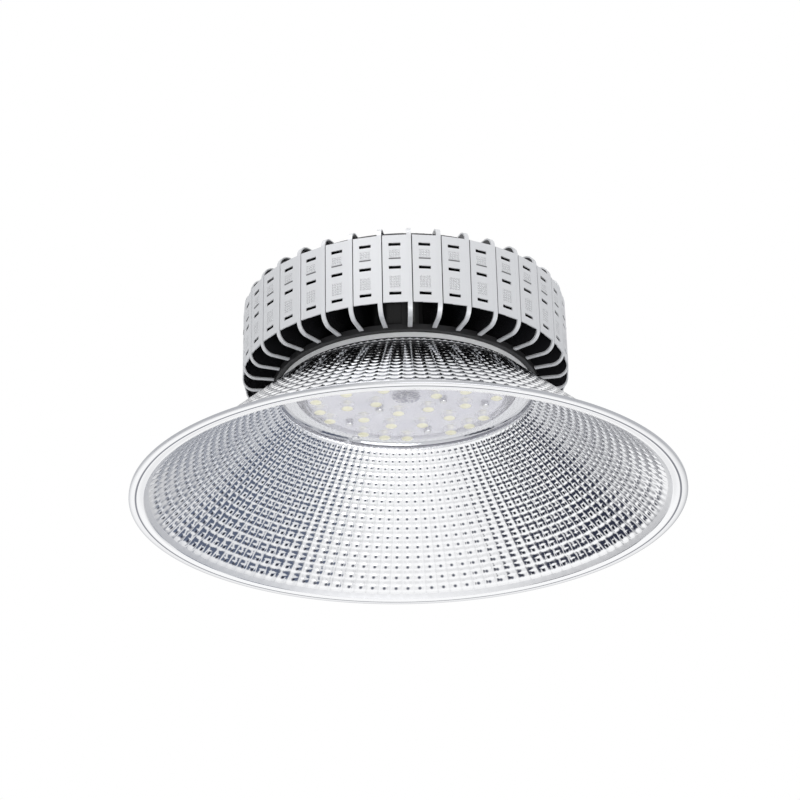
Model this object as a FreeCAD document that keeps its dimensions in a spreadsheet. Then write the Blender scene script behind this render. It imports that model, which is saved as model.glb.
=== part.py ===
"""High bay light: a ring of sheet fins over a faceted aluminium bell, with the lamp engine between.

Frame: millimetres, +Z up, origin at the centre of the plane that the bell's rim stands on.
A fin's own frame has X outward, Y along the ring and Z up; the fin is then turned about Z.
"""
import FreeCAD, Part
import math
import os

import Sketcher
from FreeCAD import Placement, Rotation, Vector

SIZES = {
    # the bell, spun from sheet and pressed into rows of cells
    "rim_radius": 225.0,
    "rim_flange_width": 11.3,
    "rim_edge_height": 2.4,
    "bell_height": 99.0,
    "cell_columns": 120,
    "cell_rows": 16,
    "cell_row_growth": 1.03,
    "cell_foot_margin": 5.9,
    "cell_fold": 0.3,
    "sheet_thickness": 1.0,
    "neck_radius": 106.0,
    "neck_height": 5.0,
    "neck_flange_width": 13.4,
    "flange_screw_circle": 97.0,
    "flange_screw_angle": 117.0,
    # the plate that everything is fastened to
    "base_radius": 110.0,
    "base_thickness": 5.0,
    "wire_hole_radius": 4.0,
    # the lamp engine under it
    "thermal_thickness": 0.4,
    "board_radius": 83.0,
    "board_thickness": 1.6,
    "led_width": 5.0,
    "led_height": 1.2,
    "led_gap": 0.6,
    "led_inner_circle": 26.0,
    "led_middle_circle": 51.0,
    "led_outer_circle": 75.0,
    "led_start_angle": 74.7,
    "gasket_thickness": 0.8,
    "gasket_width": 6.5,
    "lens_flange_thickness": 1.8,
    "lens_flange_gap": 0.8,
    "lens_wall": 2.0,
    "lens_thickness": 1.6,
    "dome_radius": 8.0,
    "dome_height": 4.6,
    "dome_cavity_radius": 3.6,
    "dome_cavity_height": 3.0,
    "lens_boss_radius": 3.6,
    "lens_screw_outer_circle": 68.5,
    "lens_screw_inner_circle": 32.0,
    # screws
    "screw_radius": 1.5,
    "screw_head_radius": 3.0,
    "screw_head_height": 1.8,
    "screw_fillet": 0.8,
    "screw_bite": 3.6,
    "screw_clearance": 0.25,
    "thread_clearance": 0.1,
    # the fins
    "fin_count": 36,
    "fin_radius": 135.6,
    "fin_start_angle": -88.9,
    "fin_foot": 105.5,
    "fin_height": 79.5,
    "fin_corner": 10.0,
    "fin_sheet": 1.0,
    "fin_lip_width": 3.6,
    "fin_plate_gap": 0.8,
    "fin_can_gap": 0.3,
    "fin_inner_flange": 7.0,
    "panel_gap": 0.8,
    "panel_rise": 9.5,
    "panel_height": 60.0,
    "slot_width": 9.5,
    "slot_height": 2.8,
    "slot_low": 7.8,
    "slot_middle": 30.9,
    "slot_high": 51.6,
    "rib_rise": 39.0,
    "rib_height": 1.2,
    "rib_depth": 0.4,
    "blade_hole_radius": 2.1,
    "blade_hole_inset": 10.8,
    "blade_hole_rise": 13.5,
    "tab_circle": 94.0,
    "tab_width": 8.0,
    "tab_depth": 2.0,
    "tab_clearance": 0.2,
    # the driver and its can
    "can_radius": 60.0,
    "can_wall": 1.5,
    "can_flange_width": 14.0,
    "can_screw_inset": 8.0,
    "driver_length": 66.0,
    "driver_width": 54.0,
    "driver_height": 44.0,
    "driver_corner": 3.0,
    # the top plate
    "top_radius": 118.0,
    "top_thickness": 2.0,
    "top_edge_fillet": 0.8,
    # the eyebolt and its nuts
    "eye_shank_radius": 5.0,
    "eye_shank_below": 11.0,
    "eye_hole_radius": 13.0,
    "eye_bar": 7.0,
    "eye_edge": 2.0,
    "eye_clearance": 0.2,
    "nut_flats": 17.0,
    "nut_height": 8.0,
    "washer_radius": 10.5,
    "washer_thickness": 2.0,
    # the cable gland
    "gland_offset": 34.0,
    "gland_thread_radius": 7.8,
    "gland_stub": 10.0,
    "gland_flats": 20.0,
    "gland_flange_height": 4.0,
    "gland_neck": 6.0,
    "gland_bore_radius": 5.0,
    "gland_seat_radius": 6.5,
    "gland_cap_height": 11.5,
    "gland_cap_roof": 2.5,
    "gland_nut_height": 5.0,
    "seal_bore_radius": 4.0,
    "seal_length": 9.0,
    "seal_clearance": 0.15,
}

doc = FreeCAD.newDocument("high_bay_light")
sheet = doc.addObject("Spreadsheet::Sheet", "sizes")
for row, (alias, number) in enumerate(SIZES.items(), start=1):
    sheet.set("A%d" % row, alias)
    sheet.set("B%d" % row, str(number))
    sheet.setAlias("B%d" % row, alias)
doc.recompute()


class Size:
    """A length or angle that knows its value now and the sheet expression that it follows."""

    def __init__(self, value, text):
        self.value = float(value)
        self.text = text

    @staticmethod
    def of(other):
        return other if isinstance(other, Size) else Size(other, repr(float(other)))

    def __add__(self, other):
        other = Size.of(other)
        return Size(self.value + other.value, "(%s + %s)" % (self.text, other.text))

    def __sub__(self, other):
        other = Size.of(other)
        return Size(self.value - other.value, "(%s - %s)" % (self.text, other.text))

    def __mul__(self, other):
        other = Size.of(other)
        return Size(self.value * other.value, "(%s * %s)" % (self.text, other.text))

    def __truediv__(self, other):
        other = Size.of(other)
        return Size(self.value / other.value, "(%s / %s)" % (self.text, other.text))

    def __rmul__(self, other):
        return Size.of(other) * self

    def __rtruediv__(self, other):
        return Size.of(other) / self

    def __neg__(self):
        return Size.of(0) - self


def size(alias):
    """The named value in the sheet."""
    return Size(SIZES[alias], "sizes." + alias)


def cosine(angle):
    return Size(math.cos(math.radians(angle.value)), "cos(%s)" % angle.text)


def sine(angle):
    return Size(math.sin(math.radians(angle.value)), "sin(%s)" % angle.text)


def on_circle(radius, angle):
    """The point at this radius and angle about Z."""
    return radius * cosine(angle), radius * sine(angle)


ZERO = Size.of(0)

# ---- levels and radii that several pieces share ----
neck_foot = size("bell_height")
base_foot = neck_foot + size("neck_height")
base_top = base_foot + size("base_thickness")
fin_foot = size("fin_foot")
fin_top = fin_foot + size("fin_height")
top_foot = fin_top
top_face = top_foot + size("top_thickness")
board_top = base_foot - size("thermal_thickness")
board_foot = board_top - size("board_thickness")
led_foot = board_foot - size("led_height")
window_top = led_foot - size("led_gap")
window_foot = window_top - size("lens_thickness")
lens_flange_top = base_foot - size("gasket_thickness")
neck_flange_radius = size("neck_radius") - size("neck_flange_width")
neck_flange_foot = base_foot - size("sheet_thickness")
lens_radius = neck_flange_radius - size("lens_flange_gap")
can_flange_radius = size("can_radius") - size("can_flange_width")
can_screw_circle = size("can_radius") - size("can_screw_inset")
screw_hole = size("screw_radius") + size("screw_clearance")
thread_hole = size("screw_radius") + size("thread_clearance")
fin_pitch = 360 / size("fin_count")


# ---- sketches and features ----
def new_body(label):
    """A body whose shape is one sub-part; its label names the file."""
    body = doc.addObject("PartDesign::Body", label)
    body.Label = label
    body.AllowCompound = True
    return body


def origin_feature(body, role):
    return next(item for item in body.Origin.OriginFeatures if item.Role == role)


def new_sketch(body, label, plane, offset=None, shift=None):
    """A sketch on one of the body's own planes, offset along the plane's normal by a size."""
    sketch = body.newObject("Sketcher::SketchObject", label)
    sketch.AttachmentSupport = [(origin_feature(body, plane), "")]
    sketch.MapMode = "FlatFace"
    if offset is not None:
        sketch.AttachmentOffset = Placement(Vector(0, 0, offset.value), Rotation())
        sketch.setExpression("AttachmentOffset.Base.z", offset.text)
    if shift is not None:
        sketch.AttachmentOffset = Placement(Vector(shift[0].value, 0, shift[1].value), Rotation())
        sketch.setExpression("AttachmentOffset.Base.x", shift[0].text)
        sketch.setExpression("AttachmentOffset.Base.z", shift[1].text)
    return sketch


def pin_point(sketch, geometry, end, x, y):
    """Ties a point of the sketch to its place from the sketch's origin."""
    for kind, value in (("DistanceX", x), ("DistanceY", y)):
        number = sketch.addConstraint(Sketcher.Constraint(kind, -1, 1, geometry, end, value.value))
        sketch.setExpression("Constraints[%d]" % number, value.text)


def draw_outline(sketch, corners):
    """A closed outline. A corner is (x, y), or (x, y, radius) where it is rounded."""
    points = [Vector(corner[0].value, corner[1].value, 0) for corner in corners]
    count = len(corners)
    leave = []
    reach = []
    for index, corner in enumerate(corners):
        before = (points[index - 1] - points[index]).normalize()
        after = (points[(index + 1) % count] - points[index]).normalize()
        cut = 0.0
        if len(corner) == 3:
            cut = corner[2].value / math.tan(before.getAngle(after) / 2)
        reach.append(points[index] + before * cut)
        leave.append(points[index] + after * cut)
    lines = []
    for index in range(count):
        line = Part.LineSegment(leave[index], reach[(index + 1) % count])
        lines.append(sketch.addGeometry(line, False))
    for index, corner in enumerate(corners):
        line_in, line_out = lines[index - 1], lines[index]
        if len(corner) == 2:
            sketch.addConstraint(Sketcher.Constraint("Coincident", line_in, 2, line_out, 1))
            pin_point(sketch, line_out, 1, corner[0], corner[1])
            continue
        radius = corner[2]
        away = ((reach[index] + leave[index]) * 0.5 - points[index]).normalize()
        half = (reach[index] - points[index]).getAngle(leave[index] - points[index]) / 2
        centre = points[index] + away * (radius.value / math.sin(half))
        middle = centre - away * radius.value
        arc = sketch.addGeometry(Part.Arc(reach[index], middle, leave[index]), False)
        first = 1 if sketch.getPoint(arc, 1).distanceToPoint(reach[index]) < 1e-6 else 2
        sharp = sketch.addGeometry(Part.Point(points[index]), True)
        pin_point(sketch, sharp, 1, corner[0], corner[1])
        sketch.addConstraint(Sketcher.Constraint("PointOnObject", sharp, 1, line_in))
        sketch.addConstraint(Sketcher.Constraint("PointOnObject", sharp, 1, line_out))
        sketch.addConstraint(Sketcher.Constraint("Tangent", line_in, 2, arc, first))
        sketch.addConstraint(Sketcher.Constraint("Tangent", line_out, 1, arc, 3 - first))
        number = sketch.addConstraint(Sketcher.Constraint("Radius", arc, radius.value))
        sketch.setExpression("Constraints[%d]" % number, radius.text)


def draw_circle(sketch, x, y, radius):
    """A circle with its centre and radius tied to sizes."""
    circle = Part.Circle(Vector(x.value, y.value, 0), Vector(0, 0, 1), radius.value)
    geometry = sketch.addGeometry(circle, False)
    pin_point(sketch, geometry, 3, x, y)
    number = sketch.addConstraint(Sketcher.Constraint("Radius", geometry, radius.value))
    sketch.setExpression("Constraints[%d]" % number, radius.text)


def draw_hexagon(sketch, x, y, flats):
    """A hexagon, measured across its flats."""
    reach = flats / math.sqrt(3)
    corners = []
    for turn in range(6):
        angle = Size.of(30 + 60 * turn)
        corners.append((x + reach * cosine(angle), y + reach * sine(angle)))
    draw_outline(sketch, corners)


def draw_box(sketch, low_x, low_y, high_x, high_y):
    draw_outline(sketch, [(low_x, low_y), (high_x, low_y), (high_x, high_y), (low_x, high_y)])


def add_pad(body, sketch, length, reverse=False, middle=False):
    pad = body.newObject("PartDesign::Pad", sketch.Name + "_pad")
    pad.Profile = sketch
    pad.Length = length.value
    pad.setExpression("Length", length.text)
    pad.Reversed = reverse
    pad.Midplane = middle
    return pad


def add_pocket(body, sketch, length, reverse=False):
    pocket = body.newObject("PartDesign::Pocket", sketch.Name + "_pocket")
    pocket.Profile = sketch
    pocket.Length = length.value
    pocket.setExpression("Length", length.text)
    pocket.Reversed = reverse
    return pocket


def add_turning(body, sketch, kind="Revolution"):
    """A Revolution, or a Groove, about the sketch's upright axis."""
    turning = body.newObject("PartDesign::" + kind, sketch.Name + "_turned")
    turning.Profile = sketch
    turning.ReferenceAxis = (sketch, ["V_Axis"])
    turning.Angle = 360
    return turning


def add_pattern(body, features, count):
    """Repeats features evenly round Z; count is a number or a size."""
    count = Size.of(count)
    pattern = body.newObject("PartDesign::PolarPattern", body.Name + "_pattern")
    pattern.Originals = features
    pattern.Axis = (origin_feature(body, "Z_Axis"), [""])
    pattern.Angle = 360
    pattern.Occurrences = int(count.value)
    pattern.setExpression("Occurrences", count.text)
    body.Tip = pattern
    return pattern


def add_fillet(body, base, edges, radius):
    """Rounds the named edges of a feature."""
    fillet = body.newObject("PartDesign::Fillet", base.Name + "_fillet")
    fillet.Base = (base, edges)
    fillet.Radius = radius.value
    fillet.setExpression("Radius", radius.text)
    return fillet


def find_edges(feature, test):
    """The names of a feature's edges for which the test holds."""
    doc.recompute()
    edges = enumerate(feature.Shape.Edges, start=1)
    return ["Edge%d" % number for number, edge in edges if test(edge)]


def is_circle(edge, radius, level):
    """True for a circular edge of this radius at this height."""
    curve = edge.Curve
    if not isinstance(curve, Part.Circle):
        return False
    return abs(curve.Radius - radius.value) < 1e-4 and abs(curve.Center.z - level.value) < 1e-4


def add_disc(body, label, foot, radius, thickness):
    """A round pad about Z."""
    sketch = new_sketch(body, label, "XY_Plane", foot)
    draw_circle(sketch, ZERO, ZERO, radius)
    return add_pad(body, sketch, thickness)


def add_holes(body, label, foot, depth, holes):
    """Round holes cut upward from a level; a hole is (x, y, radius)."""
    sketch = new_sketch(body, label, "XY_Plane", foot)
    for x, y, radius in holes:
        draw_circle(sketch, x, y, radius)
    return add_pocket(body, sketch, depth, reverse=True)


def ring_of(circle, count, start, radius):
    """Holes of one radius evenly spread on a circle."""
    holes = []
    for index in range(count):
        x, y = on_circle(circle, start + 360 * index / count)
        holes.append((x, y, radius))
    return holes


# ---- where the screws are ----
lens_screw_angle = size("led_start_angle")
LENS_SCREWS_OUTER = 6
LENS_SCREWS_INNER = 3
FLANGE_SCREWS = 3
CAN_SCREWS = 6
INNER_SCREW_TURN = 60


def lens_screw_holes(radius):
    outer = ring_of(size("lens_screw_outer_circle"), LENS_SCREWS_OUTER, lens_screw_angle, radius)
    turned = lens_screw_angle + INNER_SCREW_TURN
    return outer + ring_of(size("lens_screw_inner_circle"), LENS_SCREWS_INNER, turned, radius)


def flange_screw_holes(radius):
    return ring_of(size("flange_screw_circle"), FLANGE_SCREWS, size("flange_screw_angle"), radius)


def can_screw_holes(radius):
    return ring_of(can_screw_circle, CAN_SCREWS, ZERO, radius)


def make_screws(label, holes, seat, length, head_up):
    """Pan head screws on one seat, each its own solid; the head lies above or below the seat."""
    body = new_body(label)
    head_foot = seat if head_up else seat - size("screw_head_height")
    heads = new_sketch(body, label + "_heads", "XY_Plane", head_foot)
    for x, y, _ in holes:
        draw_circle(heads, x, y, size("screw_head_radius"))
    head_pad = add_pad(body, heads, size("screw_head_height"))
    rim = head_foot + size("screw_head_height") if head_up else head_foot
    edges = find_edges(head_pad, lambda edge: is_circle(edge, size("screw_head_radius"), rim))
    add_fillet(body, head_pad, edges, size("screw_fillet"))
    shanks = new_sketch(body, label + "_shanks", "XY_Plane", seat)
    for x, y, _ in holes:
        draw_circle(shanks, x, y, size("screw_radius"))
    add_pad(body, shanks, length, reverse=head_up)
    return body


# ---- the fins ----
def make_fin():
    """One pressed fin: blade, lip round its outer edge, slotted outer panel and inner flange."""
    body = new_body("fin_01")
    radius = size("fin_radius")
    gauge = size("fin_sheet")
    corner = size("fin_corner")
    inner = size("can_radius") + size("fin_can_gap")
    plate_edge = size("base_radius") + size("fin_plate_gap")
    tab_in = size("tab_circle") - size("tab_width") / 2
    tab_out = size("tab_circle") + size("tab_width") / 2
    tab_foot = base_top - size("tab_depth")
    tab_top = fin_top + size("tab_depth")

    blade = new_sketch(body, "blade", "XZ_Plane")
    draw_outline(blade, [
        (inner, base_top), (tab_in, base_top), (tab_in, tab_foot), (tab_out, tab_foot),
        (tab_out, base_top), (plate_edge, base_top), (plate_edge, fin_foot),
        (radius, fin_foot, corner), (radius, fin_top, corner),
        (tab_out, fin_top), (tab_out, tab_top), (tab_in, tab_top), (tab_in, fin_top),
        (inner, fin_top)])
    add_pad(body, blade, gauge, reverse=True)

    lip = new_sketch(body, "lip", "XZ_Plane")
    draw_outline(lip, [
        (plate_edge, fin_foot), (radius, fin_foot, corner), (radius, fin_top, corner),
        (plate_edge, fin_top), (plate_edge, fin_top - gauge),
        (radius - gauge, fin_top - gauge, corner - gauge),
        (radius - gauge, fin_foot + gauge, corner - gauge), (plate_edge, fin_foot + gauge)])
    add_pad(body, lip, size("fin_lip_width"), reverse=True)

    flange = new_sketch(body, "inner_flange", "XY_Plane", base_top)
    draw_box(flange, inner, ZERO, inner + gauge, size("fin_inner_flange"))
    add_pad(body, flange, fin_top - base_top)

    panel_foot = fin_foot + size("panel_rise")
    covered = (size("fin_lip_width") + size("panel_gap")) / radius * (180 / math.pi)
    turn = covered - fin_pitch
    panel = new_sketch(body, "panel", "XY_Plane", panel_foot)
    draw_outline(panel, [
        (radius, gauge), (radius - gauge, gauge),
        on_circle(radius - gauge, turn), on_circle(radius, turn)])
    add_pad(body, panel, size("panel_height"))

    middle = radius * sine(turn) / 2
    rib = new_sketch(body, "rib", "XY_Plane", panel_foot + size("rib_rise"))
    far_x, far_y = on_circle(radius, turn)
    slant = (far_x - radius) / (far_y - gauge)
    start = middle - size("slot_width") / 2
    end = middle + size("slot_width") / 2
    start_x = radius + slant * (start - gauge)
    end_x = radius + slant * (end - gauge)
    draw_outline(rib, [
        (start_x + size("rib_depth"), start), (end_x + size("rib_depth"), end),
        (end_x - gauge / 2, end), (start_x - gauge / 2, start)])
    add_pad(body, rib, size("rib_height"))

    slots = new_sketch(body, "slots", "YZ_Plane", radius - size("fin_corner"))
    for rise in ("slot_low", "slot_middle", "slot_high"):
        low = panel_foot + size(rise) - size("slot_height") / 2
        draw_box(slots, middle - size("slot_width") / 2, low,
                 middle + size("slot_width") / 2, low + size("slot_height"))
    add_pocket(body, slots, size("fin_corner") + gauge, reverse=True)

    hole = new_sketch(body, "blade_hole", "XZ_Plane")
    draw_circle(hole, radius - size("blade_hole_inset"), fin_foot + size("blade_hole_rise"),
                size("blade_hole_radius"))
    add_pocket(body, hole, gauge, reverse=True)
    turn_fin(body, 0)
    return body


def turn_fin(body, index):
    """Turns a fin to its place in the ring."""
    angle = size("fin_start_angle") + fin_pitch * index
    body.Placement = Placement(Vector(0, 0, 0), Rotation(Vector(0, 0, 1), angle.value))
    body.setExpression("Placement.Rotation.Angle", angle.text)


def copy_fin(pattern, index):
    """A further fin: the same shape, in a body of its own, turned round the ring."""
    body = new_body("fin_%02d" % (index + 1))
    clone = body.newObject("PartDesign::FeatureBase", "fin_copy_%02d" % (index + 1))
    clone.BaseFeature = pattern
    body.Tip = clone
    turn_fin(body, index)
    return body


# ---- plates and can ----
def add_tab_slots(body, foot, depth):
    """One slot for each fin's tab, cut upward from a level."""
    play = size("tab_clearance")
    label = body.Name + "_tab_slots"
    slot = new_sketch(body, label, "XY_Plane", foot)
    tangent = size("fin_start_angle")
    corners = []
    for side, along in ((-1, -1), (1, -1), (1, 1), (-1, 1)):
        out = size("tab_circle") + (size("tab_width") / 2 + play) * side
        across = -play if along < 0 else size("fin_sheet") + play
        x = out * cosine(tangent) - across * sine(tangent)
        y = out * sine(tangent) + across * cosine(tangent)
        corners.append((x, y))
    draw_outline(slot, corners)
    pocket = add_pocket(body, slot, depth, reverse=True)
    add_pattern(body, [pocket], size("fin_count"))


def make_base_plate():
    """The cast plate: fins stand in its slots, the engine and the bell hang from it."""
    body = new_body("base_plate")
    add_disc(body, "base_disc", base_foot, size("base_radius"), size("base_thickness"))
    depth = size("screw_bite") + size("screw_clearance")
    add_holes(body, "base_tapped_holes", base_foot, depth,
              lens_screw_holes(thread_hole) + flange_screw_holes(thread_hole))
    add_holes(body, "base_can_holes", base_top - depth, depth, can_screw_holes(thread_hole))
    add_holes(body, "base_wire_hole", base_foot, size("base_thickness"),
              [(ZERO, ZERO, size("wire_hole_radius"))])
    slot_depth = size("tab_depth") + size("tab_clearance")
    add_tab_slots(body, base_top - slot_depth, slot_depth)
    return body


def make_top_plate():
    """The round lid over fins and can; it carries the eyebolt and the gland."""
    body = new_body("top_plate")
    disc = add_disc(body, "top_disc", top_foot, size("top_radius"), size("top_thickness"))
    rim = find_edges(disc, lambda edge: is_circle(edge, size("top_radius"), top_face))
    add_fillet(body, disc, rim, size("top_edge_fillet"))
    holes = can_screw_holes(screw_hole)
    holes.append((ZERO, ZERO, size("eye_shank_radius") + size("eye_clearance")))
    holes.append((ZERO, size("gland_offset"), size("gland_thread_radius") + size("eye_clearance")))
    add_holes(body, "top_holes", top_foot, size("top_thickness"), holes)
    add_tab_slots(body, top_foot, size("top_thickness"))
    return body


def make_driver_can():
    """The drawn can round the driver, with a flange turned in at each end."""
    body = new_body("driver_can")
    wall = size("can_wall")
    inner = size("can_radius") - wall
    profile = new_sketch(body, "can_profile", "XZ_Plane")
    draw_outline(profile, [
        (can_flange_radius, base_top), (size("can_radius"), base_top),
        (size("can_radius"), fin_top), (can_flange_radius, fin_top),
        (can_flange_radius, fin_top - wall), (inner, fin_top - wall),
        (inner, base_top + wall), (can_flange_radius, base_top + wall)])
    add_turning(body, profile)
    add_holes(body, "can_foot_holes", base_top, wall, can_screw_holes(screw_hole))
    add_holes(body, "can_top_holes", fin_top - wall, wall, can_screw_holes(thread_hole))
    return body


def make_driver():
    """The potted driver, a closed case that stands on the base plate."""
    body = new_body("driver_case")
    half_length = size("driver_length") / 2
    half_width = size("driver_width") / 2
    corner = size("driver_corner")
    profile = new_sketch(body, "driver_outline", "XY_Plane", base_top)
    draw_outline(profile, [
        (-half_length, -half_width, corner), (half_length, -half_width, corner),
        (half_length, half_width, corner), (-half_length, half_width, corner)])
    add_pad(body, profile, size("driver_height"))
    return body


# ---- the lamp engine ----
def led_places():
    """The six LEDs of one sixth of the board: x, y from the axis."""
    start = size("led_start_angle")
    places = [on_circle(size("led_inner_circle"), start - 30)]
    for step in (0, 1):
        places.append(on_circle(size("led_middle_circle"), start - 30 * step))
    for step in (1, 2, 3):
        places.append(on_circle(size("led_outer_circle"), start - 15 * step))
    return places


LED_SIXTHS = 6


def make_thermal_sheet():
    """The soft sheet between board and base plate."""
    body = new_body("thermal_sheet")
    add_disc(body, "thermal_disc", board_top, size("board_radius"), size("thermal_thickness"))
    holes = lens_screw_holes(screw_hole) + [(ZERO, ZERO, size("wire_hole_radius"))]
    add_holes(body, "thermal_holes", board_top, size("thermal_thickness"), holes)
    return body


def make_led_board():
    """The aluminium circuit board."""
    body = new_body("led_board")
    add_disc(body, "board_disc", board_foot, size("board_radius"), size("board_thickness"))
    holes = lens_screw_holes(screw_hole) + [(ZERO, ZERO, size("wire_hole_radius"))]
    add_holes(body, "board_holes", board_foot, size("board_thickness"), holes)
    return body


def make_leds():
    """The LED packages, in three rings under the board."""
    body = new_body("leds")
    half = size("led_width") / 2
    chips = new_sketch(body, "led_squares", "XY_Plane", led_foot)
    for x, y in led_places():
        draw_box(chips, x - half, y - half, x + half, y + half)
    pad = add_pad(body, chips, size("led_height"))
    add_pattern(body, [pad], LED_SIXTHS)
    return body


def make_lens_plate():
    """The clear moulded lens: flange, stepped-down window, a hollow dome under every LED."""
    body = new_body("lens_plate")
    seat_wall = size("board_radius") + size("screw_clearance")
    window = seat_wall + size("lens_wall")
    flange_foot = lens_flange_top - size("lens_flange_thickness")
    tray = new_sketch(body, "lens_profile", "XZ_Plane")
    draw_outline(tray, [
        (ZERO, window_foot), (window, window_foot), (window, flange_foot),
        (lens_radius, flange_foot), (lens_radius, lens_flange_top),
        (seat_wall, lens_flange_top), (seat_wall, window_top), (ZERO, window_top)])
    add_turning(body, tray)
    bosses = new_sketch(body, "lens_bosses", "XY_Plane", window_top)
    for x, y, radius in lens_screw_holes(size("lens_boss_radius")):
        draw_circle(bosses, x, y, radius)
    add_pad(body, bosses, board_foot - window_top)
    add_holes(body, "lens_holes", window_foot, board_foot - window_foot,
              lens_screw_holes(screw_hole))
    features = []
    rise, foot = size("dome_height"), size("dome_radius")
    hollow, mouth = size("dome_cavity_height"), size("dome_cavity_radius")
    for number, (x, y) in enumerate(led_places(), start=1):
        dome = new_sketch(body, "dome_%d" % number, "XZ_Plane", shift=(x, -y))
        draw_cap(dome, window_foot, rise, foot)
        features.append(add_turning(body, dome))
        cavity = new_sketch(body, "cavity_%d" % number, "XZ_Plane", shift=(x, -y))
        draw_cap(cavity, window_top, hollow, mouth)
        features.append(add_turning(body, cavity, "Groove"))
    add_pattern(body, features, LED_SIXTHS)
    return body


def draw_cap(sketch, level, depth, radius):
    """Half the outline of a round cap that hangs below a level: two straight sides and one arc."""
    low = level - depth
    ball = (radius * radius + depth * depth) / (2 * depth)
    centre = low + ball
    start = Vector(0, low.value, 0)
    end = Vector(radius.value, level.value, 0)
    lean = math.atan2(end.x, centre.value - end.y) / 2
    middle = Vector(ball.value * math.sin(lean), centre.value - ball.value * math.cos(lean), 0)
    upright = sketch.addGeometry(Part.LineSegment(Vector(0, level.value, 0), start), False)
    arc = sketch.addGeometry(Part.Arc(start, middle, end), False)
    first = 1 if sketch.getPoint(arc, 1).distanceToPoint(start) < 1e-6 else 2
    lid = sketch.addGeometry(Part.LineSegment(end, Vector(0, level.value, 0)), False)
    sketch.addConstraint(Sketcher.Constraint("Coincident", upright, 2, arc, first))
    sketch.addConstraint(Sketcher.Constraint("Coincident", arc, 3 - first, lid, 1))
    sketch.addConstraint(Sketcher.Constraint("Coincident", lid, 2, upright, 1))
    pin_point(sketch, upright, 1, ZERO, level)
    pin_point(sketch, upright, 2, ZERO, low)
    pin_point(sketch, lid, 1, radius, level)
    sketch.addConstraint(Sketcher.Constraint("PointOnObject", arc, 3, -2))


def make_lens_gasket():
    """The silicone ring that the lens flange squeezes against the base plate."""
    body = new_body("lens_gasket")
    foot = lens_flange_top
    ring = new_sketch(body, "gasket_ring", "XY_Plane", foot)
    draw_circle(ring, ZERO, ZERO, lens_radius)
    draw_circle(ring, ZERO, ZERO, lens_radius - size("gasket_width"))
    add_pad(body, ring, size("gasket_thickness"))
    return body


# ---- the bell ----
def slope_points(thickness):
    """The lines between rows of cells, on the cone shifted inward by a thickness.

    Each row is taller than the one above by the growth, and the lines stand out of the cone and
    into it in turn, so that every cell is a flat facet with its own tilt.
    """
    neck = Vector(SIZES["neck_radius"], 0, SIZES["bell_height"])
    root = Vector(SIZES["rim_radius"] - SIZES["rim_flange_width"], 0, SIZES["sheet_thickness"])
    length = (root - neck).Length - SIZES["cell_foot_margin"]
    along = (root - neck).normalize()
    inward = Vector(along.z, 0, -along.x)
    rows = int(SIZES["cell_rows"])
    heights = [SIZES["cell_row_growth"] ** row for row in range(rows)]
    points = []
    reached = 0.0
    for line in range(rows + 1):
        fold = 0.0 if line in (0, rows) else SIZES["cell_fold"] * (1 - 2 * (line % 2))
        down = length * reached / sum(heights)
        points.append(neck + along * down + inward * (thickness + fold))
        if line < rows:
            reached += heights[line]
    return points, along


def slide_to(point, along, radius=None, level=None):
    """The point where a line meets a radius or a level."""
    if radius is not None:
        return point + along * ((radius - point.x) / along.x)
    return point + along * ((level - point.z) / along.z)


def bell_outline():
    """The whole section of the bell: neck flange, neck, slope, rim flange, its edge, and back."""
    gauge = SIZES["sheet_thickness"]
    neck = SIZES["neck_radius"]
    neck_top = SIZES["bell_height"] + SIZES["neck_height"]
    mouth = neck - SIZES["neck_flange_width"]
    rim = SIZES["rim_radius"]
    edge = SIZES["rim_edge_height"]
    outside, along = slope_points(0.0)
    inside, _ = slope_points(gauge)
    return ([Vector(mouth, 0, neck_top), Vector(neck, 0, neck_top)] + outside
            + [slide_to(outside[-1], along, level=gauge), Vector(rim - gauge, 0, gauge),
               Vector(rim - gauge, 0, edge), Vector(rim, 0, edge), Vector(rim, 0, 0),
               slide_to(inside[-1], along, level=0.0)]
            + inside[:0:-1]
            + [slide_to(inside[0], along, radius=neck - gauge),
               Vector(neck - gauge, 0, neck_top - gauge), Vector(mouth, 0, neck_top - gauge)])


def flat_sided_turning(outline, columns):
    """A section turned about Z with flat sides: one flat facet for each side and column."""
    turns = [2 * math.pi * column / columns for column in range(columns + 1)]
    faces = []
    for start, end in zip(outline, outline[1:] + outline[:1]):
        for turn, following in zip(turns, turns[1:]):
            corners = [Vector(point.x * math.cos(angle), point.x * math.sin(angle), point.z)
                       for point, angle in ((start, turn), (end, turn), (end, following),
                                            (start, following), (start, turn))]
            faces.append(Part.Face(Part.makePolygon(corners)))
    return Part.Solid(Part.Shell(faces))


def make_reflector():
    """The pressed aluminium bell, with holes for its screws in the flange."""
    bell = flat_sided_turning(bell_outline(), int(SIZES["cell_columns"]))
    if bell.Volume < 0:
        bell.reverse()
    foot = neck_flange_foot.value
    depth = SIZES["sheet_thickness"]
    holes = [Part.makeCylinder(radius.value, 3 * depth, Vector(x.value, y.value, foot - depth))
             for x, y, radius in flange_screw_holes(screw_hole)]
    feature = doc.addObject("Part::Feature", "reflector")
    feature.Label = "reflector"
    feature.Shape = bell.cut(Part.makeCompound(holes))
    feature.Placement = Placement(Vector(0, 0, 0), Rotation(Vector(0, 0, 1), 0))
    return feature


# ---- the eyebolt ----
eye_seat = top_face + size("washer_thickness") + size("nut_height")
eye_reach = size("eye_hole_radius") + size("eye_bar")
eye_centre = eye_seat + eye_reach + size("eye_clearance")


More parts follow.
